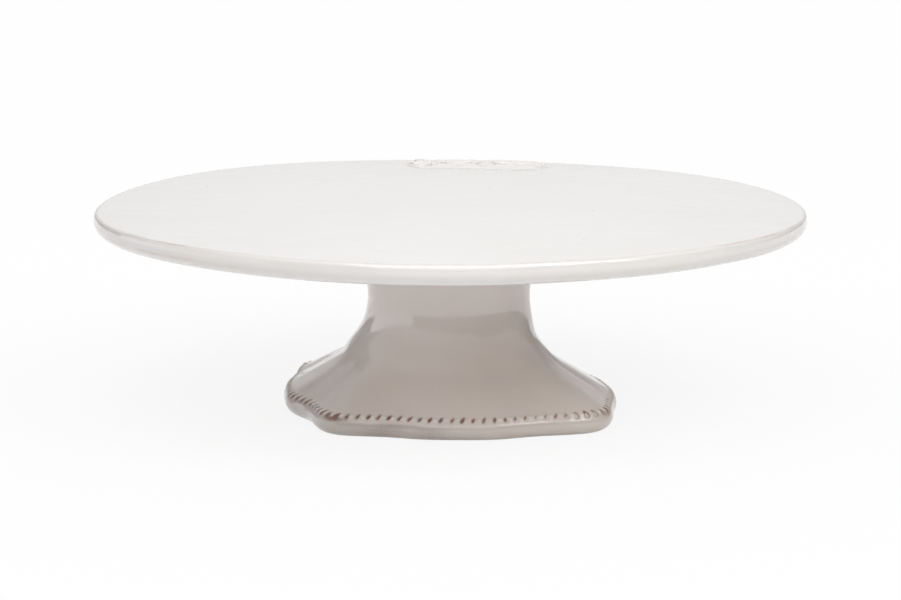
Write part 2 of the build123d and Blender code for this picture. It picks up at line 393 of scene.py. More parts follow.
# ---- materials ----------------------------------------------------------------------------------
class Nodes:
    """Short way to write the node tree of a material or of the world."""

    def __init__(self, owner):
        owner.use_nodes = True
        self.owner = owner
        self.tree = owner.node_tree
        self.shader = self.tree.nodes.get("Principled BSDF")

    def node(self, kind, inputs=None, **settings):
        made = self.tree.nodes.new(kind)
        for key, value in settings.items():
            setattr(made, key, value)
        for key, value in (inputs or {}).items():
            self.feed(made.inputs[key], value)
        return made

    def feed(self, socket, value):
        if isinstance(value, bpy.types.NodeSocket):
            self.tree.links.new(value, socket)
        else:
            socket.default_value = value

    def coordinates(self):
        return self.node("ShaderNodeTexCoord").outputs["Object"]

    def noise(self, scale, detail=3.0, roughness=0.5, distortion=0.0):
        values = {"Vector": self.coordinates(), "Scale": scale, "Detail": detail, "Roughness": roughness,
                  "Distortion": distortion}
        return self.node("ShaderNodeTexNoise", values).outputs["Fac"]

    def remap(self, value, low, high, to_low=0.0, to_high=1.0):
        values = {"Value": value, "From Min": low, "From Max": high, "To Min": to_low, "To Max": to_high}
        made = self.node("ShaderNodeMapRange", values, interpolation_type="SMOOTHSTEP")
        return made.outputs["Result"]

    def maths(self, operation, first, second=0.0):
        return self.node("ShaderNodeMath", {0: first, 1: second}, operation=operation).outputs[0]

    def mix(self, share, first, second, kind="RGBA"):
        made = self.node("ShaderNodeMix", data_type=kind)
        for socket, value in (("Factor", share), ("A", first), ("B", second)):
            self.feed(made.inputs[socket], value)
        return made.outputs["Result"]

    def attribute(self, name):
        return self.node("ShaderNodeAttribute", attribute_name=name).outputs["Fac"]

    def bump(self, heights):
        """Bumps laid on each other; each is a height and its depth in metres."""
        normal = None
        for height, distance in heights:
            made = self.node("ShaderNodeBump", {"Height": height, "Distance": distance, "Strength": 1.0})
            if normal:
                self.feed(made.inputs["Normal"], normal)
            normal = made.outputs["Normal"]
        return normal


def srgb(red, green, blue):
    """Linear colour of an sRGB colour given from 0 to 255."""
    linear = []
    for value in (red, green, blue):
        share = value / 255
        linear.append(share / 12.92 if share <= 0.04045 else ((share + 0.055) / 1.055) ** 2.4)
    return (*linear, 1.0)


def tinted(colour, shares):
    return tuple(channel * share for channel, share in zip(colour, shares))


# iron and rust colours; on the pedestal's band and the plate's edge they also paint shade
IRON_BROWN_AND_SHADE = srgb(144, 97, 71)
IRON_PURPLE_AND_SHADE = srgb(148, 114, 110)
RUST_AND_SHADE = srgb(206, 150, 112)
PALE_RUST_AND_SHADE = srgb(198, 158, 136)
BARE_CLAY = srgb(196, 178, 158)
DAMP_CLAY = tinted(BARE_CLAY, (0.78, 0.78, 0.78, 1.0))
LILAC_CAST = (0.985, 0.955, 0.975, 1.0)
GLAZE_IOR = 1.66
CLAY_ROUGHNESS = 0.82


def glaze(name, pale, warm, gloss=0.025, wash_strength=1.0, ripple=0.00022, iron_and_shade_colours=(IRON_BROWN_AND_SHADE, IRON_PURPLE_AND_SHADE)):
    """Gloss glaze over white clay: cloudy tint, rare specks, and iron wash (on the plate's edge and the
    pedestal's band also painted shade) and bare clay by attribute.
    """
    nodes = Nodes(bpy.data.materials.new(name))
    clouds = nodes.noise(9.0, detail=4.0, roughness=0.55)
    mottling = nodes.noise(85.0, detail=5.0, roughness=0.6, distortion=0.4)
    tint = nodes.mix(nodes.remap(clouds, 0.35, 0.68), pale, warm)
    tint = nodes.mix(nodes.remap(mottling, 0.50, 0.72, 0.0, 0.55), tint, tinted(pale, LILAC_CAST))

    cells = nodes.node("ShaderNodeTexVoronoi", {"Vector": nodes.coordinates(), "Scale": 130.0,
                                                "Randomness": 1.0})
    lot = nodes.node("ShaderNodeSeparateColor", {"Color": cells.outputs["Color"]})
    chosen = nodes.remap(lot.outputs["Red"], 0.955, 0.965)
    speck = nodes.maths("MULTIPLY", nodes.remap(cells.outputs["Distance"], 0.10, 0.045), chosen)
    tint = nodes.mix(nodes.maths("MULTIPLY", speck, 0.5), tint, IRON_BROWN_AND_SHADE)

    grain = nodes.noise(900.0, detail=3.0, roughness=0.65)
    streaks = nodes.noise(210.0, detail=4.0, roughness=0.6)
    # the wash attribute mixes in iron, and painted shade where the plate's edge and the pedestal's band are
    # darkened
    broken = nodes.maths("MULTIPLY", nodes.attribute("wash"), nodes.remap(grain, 0.25, 0.62, 0.86, 1.06))
    painted = nodes.maths("MULTIPLY", nodes.remap(broken, 0.05, 0.85), wash_strength)
    tint = nodes.mix(painted, tint, nodes.mix(nodes.remap(streaks, 0.40, 0.62), *iron_and_shade_colours))

    bare = nodes.attribute("bare")
    clay_grain = nodes.noise(420.0, detail=6.0, roughness=0.7)
    clay = nodes.mix(nodes.remap(clay_grain, 0.35, 0.7), BARE_CLAY, DAMP_CLAY)
    nodes.feed(nodes.shader.inputs["Base Color"], nodes.mix(bare, tint, clay))

    smears = nodes.noise(38.0, detail=3.0, roughness=0.5)
    glossy = nodes.remap(smears, 0.3, 0.75, gloss * 0.7, gloss * 1.7)
    nodes.feed(nodes.shader.inputs["Roughness"], nodes.mix(bare, glossy, CLAY_ROUGHNESS, "FLOAT"))
    nodes.feed(nodes.shader.inputs["IOR"], GLAZE_IOR)

    ripples = nodes.noise(55.0, detail=2.0, roughness=0.45)
    peel = nodes.noise(340.0, detail=2.0, roughness=0.5)
    grit = nodes.maths("MULTIPLY", clay_grain, bare)
    pinholes = nodes.maths("MULTIPLY", speck, -1.0)
    nodes.feed(nodes.shader.inputs["Normal"], nodes.bump([
        (ripples, ripple), (peel, 0.00002), (grit, 0.00035), (pinholes, 0.0001),
    ]))
    return nodes.owner


plate_glaze = glaze("plate_glaze", srgb(240, 237, 235), srgb(237, 233, 229), ripple=0.0001,
                    iron_and_shade_colours=(RUST_AND_SHADE, PALE_RUST_AND_SHADE))
# painted shade: the pedestal's glaze is a warmer, slightly darker copy of the plate's, for the cast it takes
# in the plate's shadow
pedestal_glaze = glaze("pedestal_glaze", srgb(240, 231, 226), srgb(236, 225, 215))
# painted light: the beads' glaze is a whiter copy of the same glaze, standing in for the glints on them
bead_glaze = glaze("bead_glaze", srgb(247, 242, 238), srgb(243, 237, 229))
# painted light: the relief's glaze is a whiter copy of the plate's, so that its shaded faces look as light
# as the rim
ornament_glaze = glaze("ornament_glaze", srgb(251, 249, 247), srgb(249, 246, 243), wash_strength=0.38)


# ---- plate --------------------------------------------------------------------------------------
def plate_section():
    """Radius and height down the plate's section, from under its middle round the edge to its top."""
    seat = [(radius, SEAT_TOP) for radius in np.linspace(PLATE_MIDDLE_RADIUS, SEAT_RADIUS, 26)]
    step_down = [(radius, RIM_TOP + (SEAT_TOP - RIM_TOP) * (1 - smooth_step(*SEAT_STEP, radius)))
                 for radius in np.linspace(87.0, 126.0, 14)]
    rim = [(radius, RIM_TOP) for radius in np.linspace(129.0, PLATE_RADIUS - 5.5, 20)]
    edge = smooth_path([(PLATE_RADIUS - inset, RIM_TOP - drop) for inset, drop in EDGE_SECTION], steps=7)
    under = [(radius, RIM_TOP - PLATE_THICKNESS)
             for radius in np.linspace(PLATE_RADIUS - 17.0, PLATE_MIDDLE_RADIUS, 40)]
    return np.vstack([seat, step_down, rim, edge, under])[::-1]


def plate_wash(outward, radius, height):
    """Iron on the plate along its upper arris, and painted shade in patches on its edge."""
    edge_points = outward * PLATE_RADIUS
    below_top = RIM_TOP - height
    # degrees to the left of the point of the edge that is nearest to the camera
    left = np.degrees(-np.arctan2((outward * view_right).sum(axis=-1), -(outward * view_away).sum(axis=-1)))
    arris = bell(below_top, 0.30, 0.26) * smooth_step(PLATE_RADIUS - 4, PLATE_RADIUS - 2, radius)
    strength = 0.22 * bell(left, 55.0, 32.0) + 0.13
    strength += 0.17 * bell(left, -58.0, 26.0)
    strength *= np.clip(0.9 + 0.25 * waviness(edge_points, 26.0, seed=8), 0.4, 1.3)
    # painted shade: darker patches at both ends of the edge, and a thin darker band low on its left side
    ends = bell(left, 82.0, 11.0) + 0.7 * bell(left, -85.0, 8.0)
    patch = 0.3 * ends * bell(below_top, 4.8, 2.8)
    patch += 0.27 * bell(left, 52.0, 24.0) * bell(below_top, 5.5, 0.95)
    patch *= np.clip(1 + 0.1 * waviness(edge_points, 22.0, seed=9), 0, 1.2)
    return np.maximum(arris * np.clip(strength, 0, 1), patch)


def build_plate():
    section = plate_section()
    points, radius, height, around = turned(section, PLATE_COLUMNS)
    outward = np.stack([np.cos(around), np.sin(around), np.zeros_like(around)], axis=-1)
    share = radius / PLATE_RADIUS

    # the kiln leaves the disc a little out of round and out of flat
    out_of_round = waves_round(around, PLATE_OUT_OF_ROUND)
    out_of_round += 0.05 * waviness(outward * PLATE_RADIUS, 34.0, seed=4)
    points += outward * (out_of_round * share ** 2)[..., None]
    lift = sum(waves_round(around, [wave]) * share ** (wave[0] + 1) for wave in PLATE_WARP)
    dish = -SEAT_DISH * (1 - smooth_step(0.0, 0.75, share))
    points[..., 2] += lift + dish + 0.035 * waviness(points, 70.0, seed=5)
    points[..., 2] += 0.02 * waviness(points, 16.0, seed=7) * smooth_step(0.9, 1.0, share)

    rows = len(section)
    middles = [[0, 0, RIM_TOP - PLATE_THICKNESS], [0, 0, SEAT_TOP - SEAT_DISH]]
    vertices = np.vstack([points.reshape(-1, 3), middles])
    faces = lattice_faces(rows, PLATE_COLUMNS, False, True)
    faces += pole_faces(0, PLATE_COLUMNS, rows * PLATE_COLUMNS, False)
    faces += pole_faces((rows - 1) * PLATE_COLUMNS, PLATE_COLUMNS, rows * PLATE_COLUMNS + 1, True)
    wash = np.append(plate_wash(outward, radius, height), [0, 0])
    piece = make_piece("glazed_plate", vertices, faces, wash)
    finish_piece(piece, plate_glaze, "plate_glaze", "plate")


# ---- foot outline -------------------------------------------------------------------------------
def outline_radius(angle, corners=1.0):
    """Radius of the foot's outline; corners fades its lobes and the notches between them."""
    wave = SIDES * angle
    swell = -CORNER_SWELL * np.cos(wave) + BOW_SWELL * np.cos(2 * wave) - CORNER_CRISPNESS * np.cos(3 * wave)
    swell = corners * (swell + CORNER_TWIST * np.sin(wave) + CORNER_TWIST_FINE * np.sin(3 * wave))
    swell += waves_round(angle, FOOT_WARP)
    return FOOT_RADIUS + swell - DIAGONAL_STRETCH * np.sin(2 * angle)


def outline_points(angle, inset, corners=1.0):
    """Points of the foot's outline moved square to it towards the inside, as an array of x and y."""
    step = 1e-4
    radius = outline_radius(angle, corners)
    slope = (outline_radius(angle + step, corners) - outline_radius(angle - step, corners)) / (2 * step)
    length = np.hypot(radius, slope)
    outward = np.stack([radius * np.cos(angle) + slope * np.sin(angle),
                        radius * np.sin(angle) - slope * np.cos(angle)], axis=-1) / length[:, None]
    return np.stack([radius * np.cos(angle), radius * np.sin(angle)], axis=-1) - inset * outward


def section_points(angle, radius, height):
    """A cross-section of the stem, lobed and skewed like the foot low down and round at the neck."""
    corners = 1 - smooth_step(*LOBES_FADE, height)
    skew = 1 - smooth_step(*SKEW_FADE, height)
    foot = outline_points(angle, LEDGE_WIDTH, corners) / BACKING_RADIUS
    round_points = np.stack([np.cos(angle), np.sin(angle)], axis=-1)
    return radius * ((1 - skew) * round_points + skew * foot)


def even_angles(count):
    """Angles whose points lie evenly spaced along the bead line, from the corner at -45 degrees."""
    fine = np.linspace(-math.pi / SIDES, FULL_TURN - math.pi / SIDES, 40001)
    spots = outline_points(fine, BEAD_INSET)
    lengths = np.concatenate([[0], np.cumsum(np.hypot(*np.diff(spots, axis=0).T))])
    return np.interp(np.arange(count) / count * lengths[-1], lengths, fine), lengths[-1]


column_angles, bead_line_length = even_angles(COLUMNS)
BEAD_PITCH = bead_line_length / BEAD_COUNT

# the columns' angles with one bead's more before the first, and two beads' more after the last
wrapped_columns = np.arange(-COLUMNS_PER_BEAD, COLUMNS + 2 * COLUMNS_PER_BEAD)
wrapped_angles = np.concatenate([column_angles[-COLUMNS_PER_BEAD:] - FULL_TURN, column_angles,
                                 column_angles[:COLUMNS_PER_BEAD * 2] + FULL_TURN])


def angle_at(position):
    """Direction of a place along the bead line, given in beads."""
    return np.interp(position * COLUMNS_PER_BEAD, wrapped_columns, wrapped_angles)


# ---- iron between the beads ---------------------------------------------------------------------
bead_chance = np.random.default_rng(GAP_SEED)
gap_strength = bead_chance.uniform(0.72, 1.0, BEAD_COUNT)
gap_shift = bead_chance.normal(0, 0.12, BEAD_COUNT)
gap_turn = bead_chance.normal(0, math.radians(6), BEAD_COUNT)
gap_size = bead_chance.uniform(0.9, 1.15, BEAD_COUNT)


def bead_wash(position, height, angle):
    """Iron wash between the beads, at a place along the bead line (in beads) and a height."""
    steps = np.round(position - BEAD_PHASE).astype(int)
    gap = steps % BEAD_COUNT
    from_gap = (position - BEAD_PHASE - steps) * BEAD_PITCH
    up = height - (BEAD_HEIGHT + MARK_RISE)
    thin, ringed, heavy = (zones(angle, places) for places in (THIN_IRON, RINGED_IRON, HEAVY_IRON))

    # a slanting mark in each gap, broader at its lower end
    turn = math.radians(BEAD_SLANT) + gap_turn[gap]
    along = from_gap + gap_shift[gap]
    lengthwise = along * np.cos(turn) + up * np.sin(turn)
    across = -along * np.sin(turn) + up * np.cos(turn)
    reach = MARK_REACH * gap_size[gap] * (1 + 0.1 * heavy)
    width = MARK_WIDTH - MARK_TAPER * np.clip(lengthwise / reach, -1, 1)
    width = width * (1 - 0.35 * thin) * (1 + 0.1 * heavy)
    mark = np.exp(-np.abs(lengthwise / reach) ** 2.6 - (across / width) ** 2)
    mark *= gap_strength[gap] * (1 - 0.3 * thin)

    # where the iron ran, it stands as a ring round a drop of glaze
    mark *= 1 - 0.85 * ringed
    above_drop = up + DROP_FALL
    heavier = 0.72 + 0.28 * np.cos(np.arctan2(above_drop, along) - DROP_HEAVY_SIDE + 8 * gap_turn[gap])
    rings = 0.85 * ringed * heavier * bell(np.hypot(along, above_drop), DROP_RADIUS, DROP_WIDTH)

    marks = np.maximum(mark, rings) * (1 - 0.8 * zones(angle, RUBBED_OFF))
    low = bell(height - BEAD_HEIGHT, -0.2, 1.25) * zones(angle, SMEARED_IRON)
    return np.clip(marks + low * 0.8, 0, 1)


# ---- pedestal -----------------------------------------------------------------------------------
def bell_rows(foot, foot_height, waist, throat, steps):
    """Radius and height of close cross-sections of a bell, from its foot to its throat."""
    cone = math.atan2(BACKING_RADIUS - WAIST_RADIUS, WAIST_HEIGHT - BACKING_TOP)
    flare = cone + FLARE_CURL * (min(2 * cone, math.pi / 2) - cone)
    out, down = foot - waist, WAIST_HEIGHT - foot_height
    cove = (down - out / math.tan(flare)) / math.tan(flare / 2)
    start_radius = waist + cove * (1 - math.cos(flare))
    start_height = WAIST_HEIGHT - cove * math.sin(flare)
    rows = []
    for step in range(steps):
        share = step / steps
        rows.append((foot + (start_radius - foot) * share,
                     foot_height + (start_height - foot_height) * share))
    for step in range(2 * steps, 0, -1):
        angle = flare * step / (2 * steps)
        rows.append((waist + cove * (1 - math.cos(angle)), WAIST_HEIGHT - cove * math.sin(angle)))
    neck_out, neck_up = throat - waist, COLLAR_BOTTOM - WAIST_HEIGHT
    neck = 2 * math.atan(neck_out / neck_up)
    upper = neck_up / math.sin(neck)
    for step in range(2 * steps + 1):
        angle = neck * step / (2 * steps)
        rows.append((waist + upper * (1 - math.cos(angle)), WAIST_HEIGHT + upper * math.sin(angle)))
    return rows, flare


def pedestal_lattice():
    """Points over the foot's band, up the outside and down the hollow; where band and outside end."""
    band = smooth_path(BAND_SECTION, steps=4)
    bell_outside, flare = bell_rows(BACKING_RADIUS, BACKING_TOP, WAIST_RADIUS, COLLAR_RADIUS, OUTSIDE_STEPS)
    collar = [(COLLAR_RADIUS, height) for height in (COLLAR_BOTTOM + 1.2, COLLAR_BOTTOM + 2.6, SLIP_TOP)]
    foot = BACKING_RADIUS - WALL * math.cos(flare)
    foot_height = BACKING_TOP - WALL * math.sin(flare)
    throat = COLLAR_RADIUS - COLLAR_WALL
    bell_inside, _ = bell_rows(foot, foot_height, WAIST_RADIUS - WALL, throat, INSIDE_STEPS)
    hollow = [(throat, SLIP_TOP), (throat, COLLAR_BOTTOM + 2.0), *bell_inside[::-1],
              (foot, foot_height * 0.6)]
    rows = [(outline_points(column_angles, inset), height) for inset, height in band]
    rows += [(section_points(column_angles, radius, height), height)
             for radius, height in bell_outside + collar + hollow]
    points = np.array([np.column_stack([flat, np.full(COLUMNS, height)]) for flat, height in rows])
    return points, len(band), len(band) + len(bell_outside) + len(collar)


def add_mounds(points):
    """Raises the glaze over each bead in a low mound."""
    positions = np.arange(COLUMNS) / COLUMNS_PER_BEAD
    nearest = np.round(positions - BEAD_PHASE - 0.5) + BEAD_PHASE + 0.5
    flat = outline_points(angle_at(nearest), BEAD_INSET) + FOOT_SHIFT
    from_bead = points - np.column_stack([flat, np.full(COLUMNS, BEAD_HEIGHT)])
    reach = np.linalg.norm(from_bead, axis=-1, keepdims=True)
    points += from_bead / reach * BEAD_MOUND * bell(reach, 1.15, 0.7)


def build_pedestal():
    points, band_end, outside_end = pedestal_lattice()
    # round off the turn from the bead channel into the flare
    rows_before, rows_after = SOFTENED_ROWS
    for _ in range(SOFTENING_PASSES):
        for row in range(band_end - rows_before, band_end + rows_after):
            points[row] = (points[row - 1] + 2 * points[row] + points[row + 1]) / 4

    # a view on the points, so it follows every change of their height
    height = points[..., 2]
    radial = points * np.array([1, 1, 0])
    outward = radial / np.linalg.norm(radial, axis=-1, keepdims=True)
    row_numbers = np.arange(len(points))[:, None]
    outside = (row_numbers < outside_end) * 1.0
    ripple = 0.10 * waviness(points, 42.0, seed=11) + 0.035 * waviness(points, 11.0, seed=12)
    ripple += 0.18 * waviness(points, 95.0, seed=13)
    points += outward * (ripple * between(RIPPLE_HEIGHTS, height) * outside)[..., None]

    # creases of the mould run down the flare from the waist to the notches
    creased = between(CREASE_HEIGHTS, height) * outside
    for crease, depth, width in CREASES:
        away = degrees_from(column_angles, crease)
        points -= outward * (depth * bell(away, 0, width) * creased)[..., None]
    points[..., :2] += FOOT_SHIFT + (NECK_SHIFT - FOOT_SHIFT) * smooth_step(*LEAN_HEIGHTS, height)[..., None]
    sag, sag_middle, sag_spread = SAG
    points[..., 0] -= sag * bell(height, sag_middle, sag_spread)
    fullness, full_middle, full_spread = FULLNESS
    points += outward * (fullness * bell(height, full_middle, full_spread) * outside)[..., None]
    points[..., 2] = np.maximum(points[..., 2], 0.0)
    add_mounds(points[:outside_end])

    # the iron lies in hollows between the beads
    positions = grid(points[:, 0, 0], np.arange(COLUMNS) / COLUMNS_PER_BEAD)[1]
    angles = grid(points[:, 0, 0], column_angles)[1]
    channel_end = band_end + CHANNEL_ROWS_ABOVE_BAND
    in_channel = (row_numbers >= CHANNEL_FIRST_ROW) & (row_numbers < channel_end)
    wash = bead_wash(positions, height, angles) * in_channel * between(CHANNEL_HEIGHTS, height)
    points -= outward * (MARK_DEPTH * wash)[..., None]
    points[..., 2] -= MARK_DROP * wash

    # painted shade on the band, and painted shade along its foot next to the floor
    painted_shade = zones(angles, BAND_PAINTED_SHADE) * (1 - smooth_step(6.0, 7.6, height))
    painted_shade = np.maximum(painted_shade, FOOT_PAINTED_SHADE * (1 - smooth_step(0.4, 3.2, height)))
    painted_shade *= np.clip(1 + 0.12 * waviness(points, 16.0, seed=14), 0.6, 1.3) * outside
    bare = (row_numbers < FOOT_RING_ROWS) * (1 - smooth_step(0.10, 0.42, height))
    faces = lattice_faces(len(points), COLUMNS, True, True)
    # the wash attribute carries the iron marks and the painted shade
    piece = make_piece("glazed_pedestal", points.reshape(-1, 3), faces, np.maximum(wash, painted_shade), bare)
    finish_piece(piece, pedestal_glaze, "pedestal_glaze", "pedestal")


# ---- beads --------------------------------------------------------------------------------------
def bead_shape(bead):
    """One bead, a little slanted ellipsoid with its own size: its points, middle, row and angle."""
    chance = np.random.default_rng(BEAD_SEED + bead)
    angle = angle_at(bead + 0.5 + BEAD_PHASE)
    spot = outline_points(np.array([angle]), BEAD_INSET)[0]
    ahead = outline_points(np.array([angle + 0.01]), BEAD_INSET)[0] - spot
    along = np.append(ahead / np.hypot(*ahead), 0.0)
    out = np.cross(along, UPWARDS)
    centre = np.array([*spot, BEAD_HEIGHT + chance.normal(0, 0.05)])
    turn = math.radians(BEAD_SLANT + chance.normal(0, 6))
    size = chance.normal(1.0, 0.02)

    # on a unit ball: x along the row, y up, z outwards
    polar, around = grid(math.pi * np.arange(1, BEAD_RINGS) / BEAD_RINGS,
                         FULL_TURN * np.arange(BEAD_SPOKES) / BEAD_SPOKES)
    x, y, z = np.sin(polar) * np.cos(around), np.sin(polar) * np.sin(around), np.cos(polar)
    lengthwise = (x * math.cos(turn) + y * math.sin(turn)) * BEAD_LONG * size
    across = (y * math.cos(turn) - x * math.sin(turn)) * BEAD_SHORT * size
    ahead_mm = lengthwise * math.cos(turn) - across * math.sin(turn)
    up_mm = lengthwise * math.sin(turn) + across * math.cos(turn)
    out_mm = z * BEAD_RADIUS * size
    surface = ahead_mm[..., None] * along + up_mm[..., None] * UPWARDS + out_mm[..., None] * out
    local = np.vstack([surface.reshape(-1, 3), out * BEAD_RADIUS, -out * BEAD_RADIUS])
    return local, centre, along, angle


def build_beads(name, first, node):
    """One strip of beads along a side of the foot."""
    vertices, faces, wash = [], [], []
    on_surface = (BEAD_RINGS - 1) * BEAD_SPOKES
    for index in range(BEADS_PER_SIDE):
        bead = first + index
        local, centre, along, angle = bead_shape(bead)
        start = index * len(local)
        vertices.append(centre + local)
        # the rings run from the outer pole inwards, so their faces are turned round
        faces += [(a, d, c, b) for a, b, c, d in
                  lattice_faces(BEAD_RINGS - 1, BEAD_SPOKES, False, True, start)]
        faces += pole_faces(start, BEAD_SPOKES, start + on_surface, True)
        faces += pole_faces(start + on_surface - BEAD_SPOKES, BEAD_SPOKES, start + on_surface + 1, False)
        place = bead + 0.5 + BEAD_PHASE + (local @ along) / BEAD_PITCH
        wash.append(bead_wash(place, local[:, 2] + BEAD_HEIGHT, np.full(len(local), angle)))
    vertices = np.vstack(vertices)
    vertices[:, :2] += FOOT_SHIFT
    vertices += 0.05 * np.stack([waviness(vertices, 2.6, seed) for seed in (31, 32, 33)], axis=-1)
    piece = make_piece(name, vertices, faces, np.concatenate(wash))
    finish_piece(piece, bead_glaze, "bead_glaze", node)


# ---- slip ring under the plate ------------------------------------------------------------------
def build_luting_ring():
    section = smooth_path([(COLLAR_RADIUS + out, height) for out, height in SLIP_SECTION], steps=4)
    points = turned(section, SLIP_COLUMNS)[0]
    outward = points / np.linalg.norm(points[..., :2], axis=-1, keepdims=True) * np.array([1, 1, 0])
    points[..., :2] += NECK_SHIFT
    unevenness = 0.22 * waviness(points, 17.0, seed=41) + 0.10 * waviness(points, 6.0, seed=42)
    points += outward * unevenness[..., None]
    faces = lattice_faces(len(section), SLIP_COLUMNS, True, True)
    piece = make_piece("slip_ring", points.reshape(-1, 3), faces, np.zeros(points.shape[:2]))
    finish_piece(piece, pedestal_glaze, "pedestal_glaze", "luting_ring")


# ---- ornament on the rim ------------------------------------------------------------------------
rim_right = np.array([math.sin(ORNAMENT_BEARING), -math.cos(ORNAMENT_BEARING), 0.0])
rim_outward = np.array([math.cos(ORNAMENT_BEARING), math.sin(ORNAMENT_BEARING), 0.0])


def on_rim(along, outward, height):
    """Points from distances along the rim (clockwise), outward from the ornament's middle, and height."""
    swing = along / ORNAMENT_RADIUS
    reach = ORNAMENT_RADIUS + outward
    flat = (reach * np.sin(swing))[..., None] * rim_right + (reach * np.cos(swing))[..., None] * rim_outward
    return flat + height[..., None] * UPWARDS


def leaf_shape(length, width, rise, height, tip_power, rows=46, columns=25):
    """Leaf or ribbon: how far along, across and up its lattice lies, and the lattice's own shares."""
    a, b = grid(np.linspace(-1, 1, rows), np.linspace(-1, 1, columns))
    half = width / 2 * np.clip(1 - np.abs(a) ** tip_power, 0, 1) ** 0.9 + 0.02
    bow = rise * (1 - a ** 2)
    dome = np.clip(1 - b ** 2, 0, 1) ** 0.55 * np.clip(1 - np.abs(a) ** 6, 0, 1) ** 0.6
    return a * length / 2, bow + b * half, height * dome, a, b


def relief_piece(name, patches, node, under_height=BED_TOP - RELIEF_SINK):
    """Closed relief: each patch is a lattice of points with its wash, on a flat buried underside."""
    vertices, faces, wash = np.empty((0, 3)), [], []
    for points, shade in patches:
        block, block_faces = closed_patch(points, under_height, len(vertices))
        vertices = np.vstack([vertices, block])
        faces += block_faces
        wash += [shade.ravel()] * 2
    piece = make_piece(name, vertices, faces, np.concatenate(wash))
    finish_piece(piece, ornament_glaze, "ornament_glaze", node)


def build_bed():
    a, b = grid(np.linspace(-1, 1, 150), np.linspace(-1, 1, 64))
    half_length, half_depth = BED_LENGTH / 2 + BED_SKIRT, BED_DEPTH / 2 + BED_SKIRT
    straight = (BED_LENGTH - BED_DEPTH) / 2
    along = a * half_length
    overshoot = np.clip(np.abs(along) - straight, 0, None)
    reach = np.sqrt(np.clip(half_depth ** 2 - overshoot ** 2, 0.0, None))
    outward = b * np.maximum(reach, 0.05)
    flat = np.stack([along, outward, 0 * along], axis=-1)
    from_edge = half_depth - np.hypot(overshoot, outward)
    wobble = 0.25 * waviness(flat, 12.0, seed=51)
    rise = smooth_step(0.0, 3.0, from_edge + wobble - 0.1)
    height = RIM_TOP - BED_EDGE_SINK + (BED_TOP - RIM_TOP + BED_EDGE_SINK) * rise
    # a low bead and a groove run round inside the edge
    height += 0.10 * bell(from_edge, 2.8, 1.0)
    height -= 0.08 * bell(from_edge, 4.6, 0.9)
    height += 0.05 * waviness(flat, 7.0, seed=52)

    # iron in the groove, round each motif and at the spray's root
    wash = 0.30 * bell(from_edge, 4.7, 0.9)
    for centre, ring_length, ring_depth in BED_RINGS:
        ring = np.hypot((along - centre) / ring_length, outward / ring_depth)
        wash = np.maximum(wash, 0.45 * bell(ring, 1.0, 0.28))
    wash = np.maximum(wash, 0.9 * bell(along, SPRAY_ROOT, 1.6) * bell(outward, 1, 2.4))
    wash *= np.clip(0.8 + 0.5 * waviness(flat, 6.0, seed=53), 0.15, 1.1)
    wash *= smooth_step(1.0, 3.5, from_edge)
    relief_piece("relief_bed", [(on_rim(along, outward, height), wash)], "ornament_bed", RIM_TOP - BED_SINK)


def ribbon_patch(centre, length, flip):
    """Ribbon with rolled edges and a hollow middle; flip is -1 where it bows the other way."""
    along, across, height, a, b = leaf_shape(length, RIBBON_WIDTH, RIBBON_RISE, height=0.95,
                                             tip_power=2.6, rows=70, columns=27)
    height = height * (0.62 + 0.38 * bell(np.abs(b), 0.62, 0.26))
    height -= 0.28 * bell(b, 0, 0.20) * (1 - np.abs(a) ** 4)
    wash = 0.55 * bell(b, 0, 0.16) * (1 - np.abs(a) ** 3)
    wash = np.maximum(wash, 0.5 * smooth_step(0.82, 1.0, np.abs(b)))
    points = on_rim(centre + along, flip * across - flip * RIBBON_RISE / 2, BED_TOP + height - 0.05)
    # a mirrored lattice is read the other way, so that its faces still point up
    return (points[:, ::-1], wash[:, ::-1]) if flip < 0 else (points, wash)


def build_leaves():
    """Three leaves that fan out from the spray's root, each with a midrib and side veins."""
    patches = []
    for turn, length in LEAVES:
        along, across, height, a, b = leaf_shape(length, LEAF_WIDTH, rise=0.0, height=1.05, tip_power=2.2)
        vein = bell(b, 0, 0.13) * (1 - np.abs(a) ** 4)
        side_veins = np.cos((a - np.abs(b) * 0.55) * 15.0) * (np.abs(b) > 0.1) * (1 - np.abs(b) ** 2)
        height = height - 0.30 * vein + 0.07 * side_veins * (1 - np.abs(a) ** 4)
        wash = np.maximum(0.55 * vein, 0.5 * smooth_step(0.84, 1.0, np.abs(b)))
        wash = np.maximum(wash, 0.28 * np.clip(-side_veins, 0, 1))
        cosine, sine = math.cos(math.radians(turn)), math.sin(math.radians(turn))
        x = SPRAY_ROOT - LEAF_MIDDLE * cosine + along * cosine - across * sine
        y = -LEAF_MIDDLE * sine + along * sine + across * cosine
        patches.append((on_rim(x, y, BED_TOP + height - 0.05), wash))
    relief_piece("relief_leaves", patches, "ornament_leaves")


